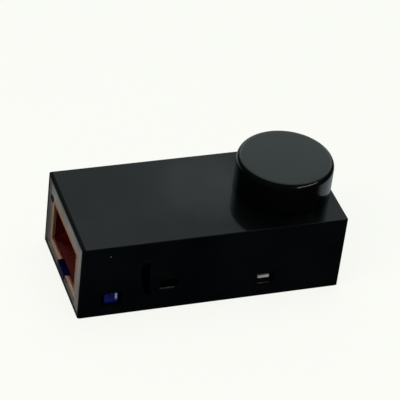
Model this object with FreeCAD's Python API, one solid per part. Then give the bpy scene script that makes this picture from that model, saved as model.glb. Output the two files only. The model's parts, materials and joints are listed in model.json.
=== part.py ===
import FreeCAD, Part
import math
import os

# Bill validator. Millimetres. X runs along the box from the note mouth (-X) to the knob end (+X),
# Y across it, Z up. The origin is the centre of the underside of the base plate.

# Case
length = 220.0
width = 104.0
height = 68.0
wall = 2.5
corner_radius = 2.0
top_edge_radius = 1.0
half_length = length / 2
half_width = width / 2
inner_half_width = half_width - wall
ceiling = height - wall
fit_gap = 0.3            # between a loose cover and the part it drops into
running_gap = 0.05       # radial play of a shaft in its bush

# Note path
path_half_width = 34.0
floor_z = 28.5           # running surface under a note
roof_z = 31.5            # running surface over a note
guide_thickness = 2.0

# Mouth, from the outside in
bezel_front = -half_length + 0.4
bezel_depth = 2.0
bezel_back = bezel_front + bezel_depth
bezel_opening = {"y": (-38.5, 41.0), "z": (6.0, 54.5)}
bezel_notch = {"y": (37.5, 44.0), "z": (47.0, 52.5)}
liner_front = bezel_front + 0.4
liner_flange = 1.0
liner_opening = {"y": (-33.5, 33.5), "z": (14.0, 50.0)}
liner_lug = 4.0
funnel_front = bezel_back + liner_flange
funnel_back = -78.0
funnel_skin = 2.5

# Shafts, all along Y
shaft_radius = 2.5
shaft_z = 40.0
front_shaft_x = -55.0
rear_shaft_x = 8.0
counter_shaft_x = 71.0
shaft_near_end = -42.0
tyre_radius = 10.0
hub_radius = 7.0
tyre_span = (12.0, 24.0)     # distance of each tyre's faces from the middle plane
pinch_radius = 7.0
pinch_gap = 0.3
pinch_z = shaft_z - tyre_radius - pinch_gap - pinch_radius
axle_radius = 2.0

# Frames
frame_inner = 38.5
frame_outer = 40.0
frame_top = 54.0
frame_span = (-72.0, 95.0)

# Belt lanes on the far side
pulley_radius = 8.0
pulley_flange_radius = 9.5
flange_thickness = 0.5
lane_width = 2.2
lane_a = frame_outer + 1.6
lane_b = lane_a + lane_width + flange_thickness
belt_gap = 0.3
belt_thickness = 1.1

# Knob
knob_x = counter_shaft_x
knob_radius = 39.7
knob_base = height + 0.5
knob_top = 97.4
knob_edge_radius = 5.0
knob_wall = 3.0
knob_boss_radius = 9.0
knob_ribs = 6
spindle_radius = 4.0

# Gears
bevel_teeth = 16
bevel_pitch_radius = 11.0
bevel_face_scale = 0.6
gear_module = 0.7
gear_teeth = 48
pinion_teeth = 12
gear_span = (-36.0, -32.0)
motor_x = 87.5
motor_z = 27.0
motor_radius = 12.0
motor_face = -30.0

# Tray that slides out through the mouth
tray_front = bezel_back + 0.1
tray_back = -35.0
tray_half_width = 33.0
tray_bottom = 14.4
tray_wall = 2.0
tray_floor_top = 15.2
tray_front_wall = 0.6
tray_back_wall = 1.5
ramp_foot = (tray_front + tray_front_wall, 15.5)
ramp_thickness = 1.5
tab_y = (-15.5, 4.5)
tab_x = (-113.0, -105.4)
tab_z = (tray_bottom, 15.6)
tab_flap_thickness = 1.6
tab_flap_foot = 10.8
tab_edge_radius = 0.5

# Fasteners and mounting
mount_half_x = 82.5
mount_half_y = 32.5
insert_radius = 3.0
insert_hole_radius = 1.65
insert_top = 7.0
base_head_radius = 3.0
base_head_height = 1.6
base_head_sink = 0.2
boss_x = 100.0
boss_y = 43.5
boss_radius = 3.6
boss_top = 14.0
screw_radius = 1.5

# Windows and slots in the case
button_window = {"x": (-91.5, -75.0), "z": (10.0, 22.6)}
socket_window = {"x": (37.2, 52.6), "z": (11.2, 23.8)}
hook_slot = {"x": (-44.2, -28.2), "z": (20.3, 28.7), "end_radius": 3.5, "lip": 0.8}
latch_slot = {
    "z": (16.4, 48.2),
    "top_x": (-59.6, -53.4),
    "middle_x": (-60.3, -52.8),
    "foot_x": (-54.7, -51.4),
}
light_x = -86.8
light_z = 59.0
light_radius = 0.8
connector_window = {"y": (-16.0, 16.0), "z": (42.3, 57.7)}
vent_half_width = 1.5
vent_pitch = 9.0
vent_z = (9.0, 30.0)
vents_each_side = 4

# Note exit
exit_bend_x = 33.0
exit_bend_z = 21.5
exit_inner = floor_z - exit_bend_z
exit_outer = exit_inner + 5.0
exit_x = (exit_bend_x + exit_inner, exit_bend_x + exit_outer)
roller_window_half = 8.0
tyre_window_half = 9.5
window_side_gap = 0.8

# Tie bars, bushes and boards
tie_bar_x = (-69.0, 30.0)
tie_half = 3.0
board_screw_y = 30.0
board_screw_radius = 1.2
bush_outer = 4.0
board_thickness = 1.6
control_board_x = (-90.0, 33.0)
control_board_half = 39.8
sensor_board_z = 37.0
sensor_half = 1.8
sensor_board_x = (-41.0, -9.0)
sensor_post_x = (-38.0, -12.0)
magnetic_head_x = (-30.0, -20.0)
magnetic_head_half = 9.0

# Motor fixings
motor_shaft_radius = 1.5
bracket_x = (74.0, 101.0)

# Rear connector, service socket and service button
connector_depth = (101.0, half_length - 0.6)
socket_x = (38.0, 51.2)
socket_z = (12.0, 22.8)
socket_y = (-half_width + 1.0, -41.6)
socket_skin = 0.4
tongue_z = (16.6, 19.4)
button_x = (-88.9, -77.2)
button_z = (11.4, 20.6)
button_face = -half_width + 1.2
button_back = -44.4
button_rib = {"x": (-80.2, -78.2), "z": (12.6, 19.4), "height": 0.3}
switch_centre = (-83.05, 16.0)
plunger_radius = 1.5
switch_y = (-43.0, -40.1)

# Knob spindle
bush_radius = 7.0
spindle_top = 90.0
spindle_foot = shaft_z + bevel_face_scale * bevel_pitch_radius

# Gear and encoder places
mesh_angle = math.atan2(motor_z - shaft_z, motor_x - counter_shaft_x)
encoder_y = (-36.6, -35.8)


def block(x, y, z):
    corner = FreeCAD.Vector(x[0], y[0], z[0])
    return Part.makeBox(x[1] - x[0], y[1] - y[0], z[1] - z[0], corner)


def around(centre, half):
    return (centre - half, centre + half)


def rod_y(x, z, radius, y):
    return Part.makeCylinder(radius, y[1] - y[0], FreeCAD.Vector(x, y[0], z), FreeCAD.Vector(0, 1, 0))


def rod_z(x, y, radius, z):
    return Part.makeCylinder(radius, z[1] - z[0], FreeCAD.Vector(x, y, z[0]))


def rod_x(y, z, radius, x):
    return Part.makeCylinder(radius, x[1] - x[0], FreeCAD.Vector(x[0], y, z), FreeCAD.Vector(1, 0, 0))


def ring_y(x, z, inner, outer, y):
    return rod_y(x, z, outer, y).cut(rod_y(x, z, inner, y))


def prism_y(outline, y):
    corners = [FreeCAD.Vector(x, y[0], z) for x, z in outline]
    face = Part.Face(Part.makePolygon(corners + corners[:1]))
    return face.extrude(FreeCAD.Vector(0, y[1] - y[0], 0))


def quarter_bend(x, z, inner, outer, y):
    quadrant = block((x, x + outer), y, (z, z + outer))
    return ring_y(x, z, inner, outer, y).common(quadrant)


def joined(pieces):
    return pieces[0].multiFuse(pieces[1:]).removeSplitter()


def other_side(shape):
    return shape.mirror(FreeCAD.Vector(0, 0, 0), FreeCAD.Vector(0, 1, 0))


def both_sides(shape):
    return [shape, other_side(shape)]


def group(solids):
    return Part.makeCompound(solids)


def at_corners(half_x, half_y):
    return [(sx * half_x, sy * half_y) for sx in (-1, 1) for sy in (-1, 1)]


def edges_along(shape, direction, keep):
    axis = FreeCAD.Vector(*direction)
    found = []
    for edge in shape.Edges:
        if edge.Curve.TypeId != "Part::GeomLine":
            continue
        run = edge.Vertexes[1].Point.sub(edge.Vertexes[0].Point)
        if run.cross(axis).Length < 1e-6 and keep(edge.CenterOfMass):
            found.append(edge)
    return found


# Case pieces

def rounded_window(x, z, radius, y):
    window = block(x, y, z)
    return window.makeFillet(radius, edges_along(window, (0, 1, 0), lambda p: True))


def hook_slot_cut(y):
    x = hook_slot["x"]
    z = hook_slot["z"]
    end_radius = hook_slot["end_radius"]
    lip = hook_slot["lip"]
    slot = block(x, y, z)
    right_edges = edges_along(slot, (0, 1, 0), lambda p: p.x > x[1] - 1)
    slot = slot.makeFillet(end_radius, right_edges)
    outer = y[0] + 1
    overlap = 0.01
    chamfer = [(z[0] + overlap, outer), (z[0] - lip, outer), (z[0] + overlap, outer + lip)]
    corners = [FreeCAD.Vector(x[0], across, up) for up, across in chamfer]
    chamfer_face = Part.Face(Part.makePolygon(corners + corners[:1]))
    run = FreeCAD.Vector(x[1] - x[0] - end_radius, 0, 0)
    return slot.fuse(chamfer_face.extrude(run))


def latch_slot_cut(y):
    low, high = latch_slot["z"]
    middle = (low + high) / 2

    def corner(x, z):
        return FreeCAD.Vector(x, y[0], z)

    top_left, top_right = [corner(x, high) for x in latch_slot["top_x"]]
    left, right = [corner(x, middle) for x in latch_slot["middle_x"]]
    foot_left, foot_right = [corner(x, low) for x in latch_slot["foot_x"]]
    outline = Part.Wire([
        Part.LineSegment(top_left, top_right).toShape(),
        Part.Arc(top_right, right, foot_right).toShape(),
        Part.LineSegment(foot_right, foot_left).toShape(),
        Part.Arc(foot_left, left, top_left).toShape(),
    ])
    return Part.Face(outline).extrude(FreeCAD.Vector(0, y[1] - y[0], 0))


def screw_boss(x, y):
    side = 1 if y > 0 else -1
    post = rod_z(x, y, boss_radius, (wall, boss_top))
    web = block(around(x, boss_radius), tuple(sorted((y, side * inner_half_width))), (wall, boss_top))
    hole = rod_z(x, y, screw_radius, (0, boss_top - 2))
    return post.fuse(web).cut(hole)


def housing():
    shell = block((-half_length, half_length), (-half_width, half_width), (0, height))
    shell = shell.makeFillet(corner_radius, edges_along(shell, (0, 0, 1), lambda p: True))
    top_edges = [e for e in shell.Edges if abs(e.CenterOfMass.z - height) < 1e-6]
    shell = shell.makeFillet(top_edge_radius, top_edges)
    cavity_x = (-half_length - 1, half_length - wall)
    cavity = block(cavity_x, (-inner_half_width, inner_half_width), (-1, ceiling))
    near_wall = (-half_width - 1, -inner_half_width + 1)
    far_wall = (inner_half_width - 1, half_width + 1)
    end_wall = (half_length - wall - 1, half_length + 1)
    cuts = [
        cavity,
        rounded_window(button_window["x"], button_window["z"], 1.5, near_wall),
        rounded_window(socket_window["x"], socket_window["z"], 2.0, near_wall),
        rod_y(light_x, light_z, light_radius, near_wall),
        rod_z(knob_x, 0, bush_radius, (ceiling - 1, height + 1)),
        block(end_wall, connector_window["y"], connector_window["z"]),
    ]
    near_slots = hook_slot_cut(near_wall).fuse(latch_slot_cut(near_wall))
    cuts += both_sides(near_slots)
    for i in range(-vents_each_side, vents_each_side + 1):
        cuts.append(block(end_wall, around(i * vent_pitch, vent_half_width), vent_z))
    shell = shell.cut(cuts[0])
    for cut in cuts[1:]:
        shell = shell.cut(cut)
    bosses = [screw_boss(x, y) for x, y in at_corners(boss_x, boss_y)]
    return joined([shell] + bosses)


def base_plate():
    rim = inner_half_width - fit_gap
    plate = block((-half_length, half_length - wall - fit_gap), (-rim, rim), (0, wall))
    plate = plate.cut(block(exit_x, around(0, path_half_width), (-1, wall + 1)))
    for x, y in at_corners(boss_x, boss_y):
        plate = plate.cut(base_screw(x, y)).cut(rod_z(x, y, base_head_radius, (-1, base_head_sink)))
    for x, y in at_corners(mount_half_x, mount_half_y):
        plate = plate.cut(rod_z(x, y, insert_radius, (-1, wall + 1)))
    return plate


def base_screw(x, y):
    foot = FreeCAD.Vector(x, y, base_head_sink)
    head = Part.makeCone(base_head_radius, screw_radius, base_head_height, foot)
    return joined([head, rod_z(x, y, screw_radius, (base_head_sink, boss_top - 3))])


def base_screws():
    slot_depth = 1.0
    slot_half_length = 1.6
    slot_half_width = 0.35
    z = (0, base_head_sink + slot_depth)
    screws = []
    for x, y in at_corners(boss_x, boss_y):
        across = block(around(x, slot_half_length), around(y, slot_half_width), z)
        along = block(around(x, slot_half_width), around(y, slot_half_length), z)
        screws.append(base_screw(x, y).cut(across.fuse(along)))
    return group(screws)


def mounting_inserts():
    inserts = []
    collar = 3.4
    for x, y in at_corners(mount_half_x, mount_half_y):
        body = rod_z(x, y, insert_radius, (0, insert_top)).fuse(rod_z(x, y, collar, (wall, wall + 1.2)))
        inserts.append(body.cut(rod_z(x, y, insert_hole_radius, (-1, insert_top + 1))).removeSplitter())
    return group(inserts)


# Mouth

def notch_cut():
    return block(around(bezel_front, 10), bezel_notch["y"], bezel_notch["z"])


def mouth_bezel():
    rim = inner_half_width - fit_gap
    frame = block((bezel_front, bezel_back), (-rim, rim), (wall + fit_gap, ceiling - fit_gap))
    opening = block(around(bezel_front, 10), bezel_opening["y"], bezel_opening["z"])
    return frame.cut(opening).cut(notch_cut())


def mouth_liner():
    rim_y = (bezel_opening["y"][0] + fit_gap, bezel_opening["y"][1] - fit_gap)
    rim_z = (bezel_opening["z"][0] + fit_gap, bezel_opening["z"][1] - fit_gap)
    ring = block((liner_front, bezel_back), rim_y, rim_z)
    lug_y = (rim_y[0] - liner_lug, rim_y[1] + liner_lug)
    flange = block((bezel_back, funnel_front), lug_y, (rim_z[0] + liner_lug, rim_z[1] - 2 * liner_lug))
    mouth = block(around(bezel_front, 10), liner_opening["y"], liner_opening["z"])
    behind_y = (liner_opening["y"][0] - funnel_skin, liner_opening["y"][1] + funnel_skin)
    behind = block((bezel_back, funnel_front + 1), behind_y, liner_opening["z"])
    return joined([ring, flange]).cut(mouth).cut(behind).cut(notch_cut())


def entry_funnel():
    side_inner = path_half_width + 0.2
    side_outer = side_inner + funnel_skin
    roof_front = liner_opening["z"][1]
    foot = liner_opening["z"][0] + 0.1
    roof_line = [
        (funnel_front, roof_front),
        (funnel_back, roof_z),
        (funnel_back, roof_z + funnel_skin),
        (funnel_front, roof_front + funnel_skin),
    ]
    cheek_line = [
        (funnel_front, foot),
        (funnel_back, foot),
        (funnel_back, roof_z + funnel_skin),
        (funnel_front, roof_front + funnel_skin),
    ]
    roof = prism_y(roof_line, (-side_inner, side_inner))
    cheek = prism_y(cheek_line, (side_inner, side_outer))
    return joined([roof] + both_sides(cheek))


def tray_rails():
    x = (-104.0, tray_back - 1.0)
    top = tray_bottom - fit_gap
    web = block(x, (36.0, frame_inner), (wall, top))
    ledge = block(x, (28.0, frame_inner), (top - 2.0, top))
    return group(both_sides(joined([web, ledge])))


# Note path


def roller_windows(x, half, z):
    span = (tyre_span[0] - window_side_gap, tyre_span[1] + window_side_gap)
    return both_sides(block(around(x, half), span, z))


def upper_guide():
    z = (roof_z, roof_z + guide_thickness)
    side = (-path_half_width, path_half_width)
    plate = block((funnel_back, exit_bend_x), side, z)
    lip_x = (funnel_back + 2, exit_bend_x - 6)
    lips = both_sides(block(lip_x, (path_half_width - 2.0, path_half_width), (z[0], z[1] + 3.5)))
    ears = []
    for x in (-36.0, 24.0):
        ears += both_sides(block(around(x, 4.0), (path_half_width - 1, frame_inner), z))
    posts = [rod_z(x, y, 2.5, (z[0] + 0.5, sensor_board_z)) for x in sensor_post_x for y in (-26.0, 26.0)]
    guide = joined([plate] + lips + ears + posts)
    cuts = [magnetic_head_space()]
    for x in (front_shaft_x, rear_shaft_x):
        cuts += roller_windows(x, tyre_window_half, (z[0] - 1, z[1] + 1))
    for cut in cuts:
        guide = guide.cut(cut)
    return guide


def lower_guide():
    side = (-path_half_width, path_half_width)
    x = (tray_back + 0.8, exit_bend_x)
    plate = block(x, side, (floor_z - guide_thickness, floor_z))
    cheeks = both_sides(block(x, (31.0, 33.0), (wall, floor_z - guide_thickness)))
    bend = quarter_bend(exit_bend_x, exit_bend_z, exit_inner - guide_thickness, exit_inner, side)
    drop = block((exit_x[0] - guide_thickness, exit_x[0]), side, (wall, exit_bend_z))
    guide = joined([plate, bend, drop] + cheeks)
    guide = guide.cut(rod_y(rear_shaft_x, pinch_z, axle_radius + running_gap, side))
    through_plate = (floor_z - guide_thickness - 1, floor_z + 1)
    for cut in roller_windows(rear_shaft_x, roller_window_half, through_plate):
        guide = guide.cut(cut)
    return guide


def exit_deflector():
    side = (-path_half_width, path_half_width)
    top = (exit_bend_z + exit_outer, exit_bend_z + exit_outer + guide_thickness)
    bend = quarter_bend(exit_bend_x, exit_bend_z, exit_outer, exit_outer + guide_thickness, side)
    drop = block((exit_x[1], exit_x[1] + guide_thickness), side, (wall, exit_bend_z))
    tongue = block((exit_bend_x - 5.0, exit_bend_x), side, top)
    return joined([bend, drop, tongue])


def side_frame():
    plate = block(frame_span, (frame_inner, frame_outer), (wall, frame_top))
    foot = block(frame_span, (frame_inner, 46.5), (wall, wall + 1.5))
    frame = joined([plate, foot])
    for x in (front_shaft_x, rear_shaft_x, counter_shaft_x):
        frame = frame.cut(rod_y(x, shaft_z, bush_outer, (frame_inner - 1, frame_outer + 1)))
    return frame


def tie_bars():
    bars = []
    for x in tie_bar_x:
        bar = block(around(x, tie_half), (-frame_inner, frame_inner), (frame_top - 2 * tie_half, frame_top))
        for y in (-board_screw_y, board_screw_y):
            bar = bar.cut(rod_z(x, y, board_screw_radius, (frame_top - 5, frame_top + 1)))
        bars.append(bar)
    return group(bars)


def shaft_bushes():
    bushes = []
    bore = shaft_radius + running_gap
    for x in (front_shaft_x, rear_shaft_x, counter_shaft_x):
        sleeve = ring_y(x, shaft_z, bore, bush_outer, (frame_inner, frame_outer))
        flange = ring_y(x, shaft_z, bore, bush_outer + 1.2, (frame_outer, frame_outer + 0.8))
        bushes += both_sides(joined([sleeve, flange]))
    return group(bushes)


# Boards and sensors


def control_board():
    z = (frame_top, frame_top + board_thickness)
    board = block(control_board_x, around(0, control_board_half), z)
    for x in tie_bar_x:
        for y in (-board_screw_y, board_screw_y):
            board = board.cut(rod_z(x, y, board_screw_radius, (frame_top - 1, frame_top + 3)))
    return board


def board_components():
    z = frame_top + board_thickness
    processor = block((-27.0, -13.0), (-7.0, 7.0), (z, z + 1.6))
    memory = block((-2.0, 6.0), (8.0, 18.0), (z, z + 1.2))
    driver = block((8.0, 14.0), (-16.0, -6.0), (z, z + 2.0))
    header_top = z + 6.0
    front_header = block((-60.0, -40.0), (28.0, 34.0), (z, header_top))
    rear_header = block((-8.0, 16.0), (30.0, 36.0), (z, header_top))
    capacitors = [rod_z(x, -28.0, 4.0, (z, z + 8.0)) for x in (0.0, 11.0)]
    crystal = block((-36.0, -31.0), (-2.0, 2.0), (z, z + 1.5))
    status_led = block(around(light_x, 1.6), (-39.3, -36.5), (z, z + 4.6))
    chips = [processor, memory, driver, crystal, status_led]
    return group(chips + [front_header, rear_header] + capacitors)


def board_screws():
    z = frame_top + board_thickness
    screws = []
    for x in tie_bar_x:
        for y in (-board_screw_y, board_screw_y):
            shank = rod_z(x, y, board_screw_radius, (frame_top - 4, z))
            screws.append(shank.fuse(rod_z(x, y, 2.4, (z, z + 1.6))).removeSplitter())
    return group(screws)


def sensor_row(x, z):
    return [block(around(x, sensor_half), around(y, sensor_half), z) for y in (-18.0, 0.0, 18.0)]


def upper_sensor_board():
    z = (sensor_board_z, sensor_board_z + board_thickness)
    board = block(sensor_board_x, (-30.0, 30.0), z)
    sensors = []
    for x in (-36.0, -14.0):
        sensors += sensor_row(x, (z[0] - 2.6, z[0]))
    return joined([board] + sensors)


def magnetic_head_space():
    gap = 0.3
    x = (magnetic_head_x[0] - gap, magnetic_head_x[1] + gap)
    return block(x, around(0, magnetic_head_half + gap), (roof_z - 1, sensor_board_z))


def magnetic_head():
    head = block(magnetic_head_x, around(0, magnetic_head_half), (roof_z + 0.3, sensor_board_z))
    nose = edges_along(head, (0, 1, 0), lambda p: p.z < roof_z + 1)
    return head.makeFillet(2.0, nose)


def light_pipe():
    pipe = rod_y(light_x, light_z, light_radius, (-half_width + 0.2, -39.6))
    collar = rod_y(light_x, light_z, 2.2, (-inner_half_width, -inner_half_width + 1.2))
    return joined([pipe, collar])


def encoder_sensor():
    x = around(front_shaft_x, 4.0)
    body = block(x, (-38.3, -34.3), (frame_top - 7.0, frame_top))
    slot_y = (encoder_y[0] - 0.5, encoder_y[1] + 0.5)
    slot = block(around(front_shaft_x, 6.0), slot_y, (frame_top - 8.0, frame_top - 1.2))
    return body.cut(slot)


# Motor, belts

def drive_motor():
    body_end = 4.0
    can = rod_y(motor_x, motor_z, motor_radius, (motor_face, body_end))
    flats = [block(around(motor_x, motor_radius + 1), (motor_face - 3, body_end + 1), z) for z in
             ((motor_z + 10.0, motor_z + 14.0), (motor_z - 14.0, motor_z - 10.0))]
    for flat in flats:
        can = can.cut(flat)
    nose = rod_y(motor_x, motor_z, 3.5, (motor_face - 1.5, motor_face))
    motor = joined([can, nose])
    return motor.cut(rod_y(motor_x, motor_z, motor_shaft_radius + 0.1, (motor_face - 2, -14.0)))


def motor_bracket():
    plate_y = (motor_face - 1.5, motor_face)
    plate = block(bracket_x, plate_y, (wall, motor_z + 13.0))
    foot = block(bracket_x, (plate_y[0], plate_y[1] + 14.0), (wall, wall + 1.5))
    bracket = joined([plate, foot])
    bracket = bracket.cut(rod_y(motor_x, motor_z, 3.5, around(motor_face, 4)))
    bracket = bracket.cut(rod_z(mount_half_x, -mount_half_y, 4.4, (wall - 1, insert_top + 1)))
    shaft_notch = rod_y(counter_shaft_x, shaft_z, 6.0, around(motor_face, 4))
    return bracket.cut(shaft_notch)


def belt(x, lane):
    inner = pulley_radius + belt_gap
    outer = inner + belt_thickness
    y = (lane + belt_gap, lane + lane_width - belt_gap)

    def loop(radius):
        ends = [rod_y(end, shaft_z, radius, y) for end in x]
        return joined(ends + [block(x, y, around(shaft_z, radius))])

    return loop(outer).cut(loop(inner))


def pulley(x, low, lanes):
    width_over_flanges = lanes * lane_width + (lanes + 1) * flange_thickness
    start = low - flange_thickness
    body = rod_y(x, shaft_z, pulley_flange_radius, (start, start + width_over_flanges))
    for i in range(lanes):
        start = low + i * (lane_width + flange_thickness)
        lane = (start, start + lane_width)
        body = body.cut(ring_y(x, shaft_z, pulley_radius, pulley_flange_radius + 1, lane))
    return body.cut(rod_y(x, shaft_z, shaft_radius, around(low, 12)))


# Sockets and button


def rear_connector():
    y = connector_window["y"]
    z = connector_window["z"]
    skin = 1.2
    shell = block(connector_depth, y, z)
    flange_x = (half_length - wall - 2.0, half_length - wall)
    flange = block(flange_x, (y[0] - 3, y[1] + 3), (z[0] - 3, z[1] + 3))
    cavity_x = (connector_depth[0] + skin, half_length)
    cavity = block(cavity_x, (y[0] + skin, y[1] - skin), (z[0] + skin, z[1] - skin))
    body = joined([shell, flange]).cut(cavity)
    for pin in connector_pin_rods():
        body = body.cut(pin)
    return body


def connector_pin_rods():
    pitch = 3.4
    rows = (48.0, 52.0)
    x = (connector_depth[0] - 2.5, connector_depth[0] + 5.0)
    return [rod_x((i - 3.5) * pitch, z, 0.5, x) for z in rows for i in range(8)]


def rear_connector_pins():
    return group(connector_pin_rods())


def service_socket_shell():
    corner = 1.6
    outer = rounded_window(socket_x, socket_z, corner, socket_y)
    inner_x = (socket_x[0] + socket_skin, socket_x[1] - socket_skin)
    inner_y = (socket_y[0] - 1, socket_y[1] - socket_skin)
    inner_z = (socket_z[0] + socket_skin, socket_z[1] - socket_skin)
    inner = rounded_window(inner_x, inner_z, corner - socket_skin, inner_y)
    return outer.cut(inner)


def service_socket_tongue():
    tongue_y = (socket_y[0] + 0.8, socket_y[1] - socket_skin)
    tongue = block((socket_x[0] + 1.2, socket_x[1] - 2.2), tongue_y, tongue_z)
    edges = edges_along(tongue, (0, 1, 0), lambda p: True)
    return tongue.makeFillet(0.6, edges)


def service_board():
    return block((35.0, 60.0), (socket_y[1], -frame_outer), (6.0, 25.0))


def service_button():
    cap = block(button_x, (button_face, button_back), button_z)
    front_edges = [e for e in cap.Edges if abs(e.CenterOfMass.y - button_face) < 1e-6]
    cap = cap.makeFillet(0.8, front_edges)
    flange_z = (button_window["z"][0] - 1.4, button_window["z"][1] + 1.4)
    flange_y = (-inner_half_width + fit_gap, -inner_half_width + fit_gap + 1.0)
    flange = block(button_x, flange_y, flange_z)
    button = joined([cap, flange])
    rib_y = (button_face - button_rib["height"], button_face + 1)
    rib = block(button_rib["x"], rib_y, button_rib["z"])
    return joined([button, rib])


def switch_plunger():
    return rod_y(switch_centre[0], switch_centre[1], plunger_radius, (button_back, -42.2))


def switch_body():
    x, z = switch_centre
    body = block(around(x, 3.2), switch_y, around(z, 3.2))
    return body.cut(rod_y(x, z, plunger_radius + running_gap, (switch_y[0] - 1, switch_y[1] - 0.4)))


def switch_board():
    return block((-94.0, -73.0), (switch_y[1], -frame_inner), (5.0, 27.0))


# Knob and its spindle


def knob_cap():
    body = rod_z(knob_x, 0, knob_radius, (knob_base, knob_top))
    rim = [edge for edge in body.Edges if abs(edge.CenterOfMass.z - knob_top) < 1e-6]
    body = body.makeFillet(knob_edge_radius, rim)
    inner_radius = knob_radius - knob_wall
    under_top = knob_top - knob_wall
    inside = rod_z(knob_x, 0, inner_radius, (knob_base - 1, under_top - 1))
    boss = rod_z(knob_x, 0, knob_boss_radius, (knob_base + 2.0, under_top))
    ribs = []
    for turn in range(knob_ribs):
        rib = block((knob_boss_radius - 1, inner_radius + 0.5), (-1.0, 1.0), (knob_base + 8.0, under_top))
        rib.rotate(FreeCAD.Vector(0, 0, 0), FreeCAD.Vector(0, 0, 1), 360 / knob_ribs * turn)
        rib.translate(FreeCAD.Vector(knob_x, 0, 0))
        ribs.append(rib)
    cap = joined([body.cut(inside), boss] + ribs)
    return cap.cut(rod_z(knob_x, 0, spindle_radius, (knob_base - 1, spindle_top)))


def knob_spindle():
    return rod_z(knob_x, 0, spindle_radius, (spindle_foot, spindle_top))


def knob_bush():
    flange_radius = 10.0
    sleeve = rod_z(knob_x, 0, bush_radius, (60.5, height + 0.3))
    flange = rod_z(knob_x, 0, flange_radius, (ceiling - 2.0, ceiling))
    return joined([sleeve, flange]).cut(rod_z(knob_x, 0, spindle_radius + running_gap, (50, 80)))


def spindle_clip():
    z = (58.8, 60.0)
    ring = rod_z(knob_x, 0, 6.4, z).cut(rod_z(knob_x, 0, spindle_radius, z))
    return ring.cut(block((knob_x, knob_x + 8), (-1.5, 1.5), z))


def tooth_outline(teeth, root, tip, root_share, tip_share, first):
    pitch = 2 * math.pi / teeth
    points = []
    for i in range(teeth):
        middle = first + i * pitch
        points.append((root, middle - root_share * pitch / 2))
        points.append((tip, middle - tip_share * pitch / 2))
        points.append((tip, middle + tip_share * pitch / 2))
        points.append((root, middle + root_share * pitch / 2))
    return [(r * math.cos(a), r * math.sin(a)) for r, a in points]


def bevel_wire(scale, first, place):
    root = (bevel_pitch_radius - 1.5) * scale
    tip = (bevel_pitch_radius + 1.0) * scale
    outline = tooth_outline(bevel_teeth, root, tip, 0.56, 0.28, first)
    corners = [place(u, v, bevel_pitch_radius * scale) for u, v in outline]
    return Part.makePolygon(corners + corners[:1])


def knob_bevel_gear():
    def place(u, v, reach):
        return FreeCAD.Vector(knob_x + u, v, shaft_z + reach)

    wires = [bevel_wire(scale, math.pi / 2, place) for scale in (bevel_face_scale, 1.0)]
    teeth = Part.makeLoft(wires, True, True)
    back = shaft_z + bevel_pitch_radius
    hub = rod_z(knob_x, 0, 7.0, (back, back + 3.5))
    return joined([teeth, hub]).cut(rod_z(knob_x, 0, spindle_radius, (shaft_z, back + 5)))


def shaft_bevel_gear():
    def place(u, v, reach):
        return FreeCAD.Vector(counter_shaft_x + u, reach, shaft_z + v)

    half_tooth = math.pi / bevel_teeth
    first = math.pi / 2 + half_tooth
    wires = [bevel_wire(scale, first, place) for scale in (bevel_face_scale, 1.0)]
    teeth = Part.makeLoft(wires, True, True)
    hub = rod_y(counter_shaft_x, shaft_z, 6.0, (bevel_pitch_radius, bevel_pitch_radius + 3.5))
    return joined([teeth, hub]).cut(rod_y(counter_shaft_x, shaft_z, shaft_radius, (0, 20)))


def spur_gear(x, z, teeth, first, bore):
    pitch_radius = gear_module * teeth / 2
    outline = tooth_outline(teeth, pitch_radius - 0.8, pitch_radius + 0.5, 0.56, 0.26, first)
    gear = prism_y([(x + u, z + v) for u, v in outline], gear_span)
    return gear.cut(rod_y(x, z, bore, (gear_span[0] - 1, gear_span[1] + 1)))


def drive_gear():
    gear = spur_gear(counter_shaft_x, shaft_z, gear_teeth, mesh_angle, shaft_radius)
    holes = []
    for i in range(6):
        angle = mesh_angle + (i + 0.5) * math.pi / 3
        x = counter_shaft_x + 10.0 * math.cos(angle)
        z = shaft_z + 10.0 * math.sin(angle)
        holes.append(rod_y(x, z, 3.2, (gear_span[0] - 1, gear_span[1] + 1)))
    for hole in holes:
        gear = gear.cut(hole)
    return gear


def motor_pinion():
    facing = mesh_angle + math.pi
    return spur_gear(motor_x, motor_z, pinion_teeth, facing + math.pi / pinion_teeth, motor_shaft_radius)


def motor_shaft():
    return rod_y(motor_x, motor_z, motor_shaft_radius, (gear_span[0], -15.0))


# Feed shafts and rollers


def counter_shaft():
    far_end = lane_b + lane_width + flange_thickness
    return rod_y(counter_shaft_x, shaft_z, shaft_radius, (shaft_near_end, far_end))


def feed_shaft(x, far_end):
    shaft = rod_y(x, shaft_z, shaft_radius, (shaft_near_end, far_end))
    return joined([shaft] + both_sides(rod_y(x, shaft_z, hub_radius, tyre_span)))


def feed_tyres(x):
    return group(both_sides(ring_y(x, shaft_z, hub_radius, tyre_radius, tyre_span)))


def encoder_disc():
    radius = 12.0
    disc = ring_y(front_shaft_x, shaft_z, shaft_radius, radius, encoder_y)
    hub = ring_y(front_shaft_x, shaft_z, shaft_radius, 4.5, (encoder_y[0] - 1.6, encoder_y[0]))
    wheel = joined([disc, hub])
    slots = 16
    for i in range(slots):
        slot = block((8.2, 11.0), encoder_y, (-0.7, 0.7))
        slot.rotate(FreeCAD.Vector(0, 0, 0), FreeCAD.Vector(0, 1, 0), 360.0 * i / slots)
        slot.translate(FreeCAD.Vector(front_shaft_x, 0, shaft_z))
        wheel = wheel.cut(slot)
    return wheel


def pinch_roller(x):
    axle = rod_y(x, pinch_z, axle_radius, (-32.8, 32.8))
    return joined([axle] + both_sides(rod_y(x, pinch_z, pinch_radius, tyre_span)))


# Tray

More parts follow.
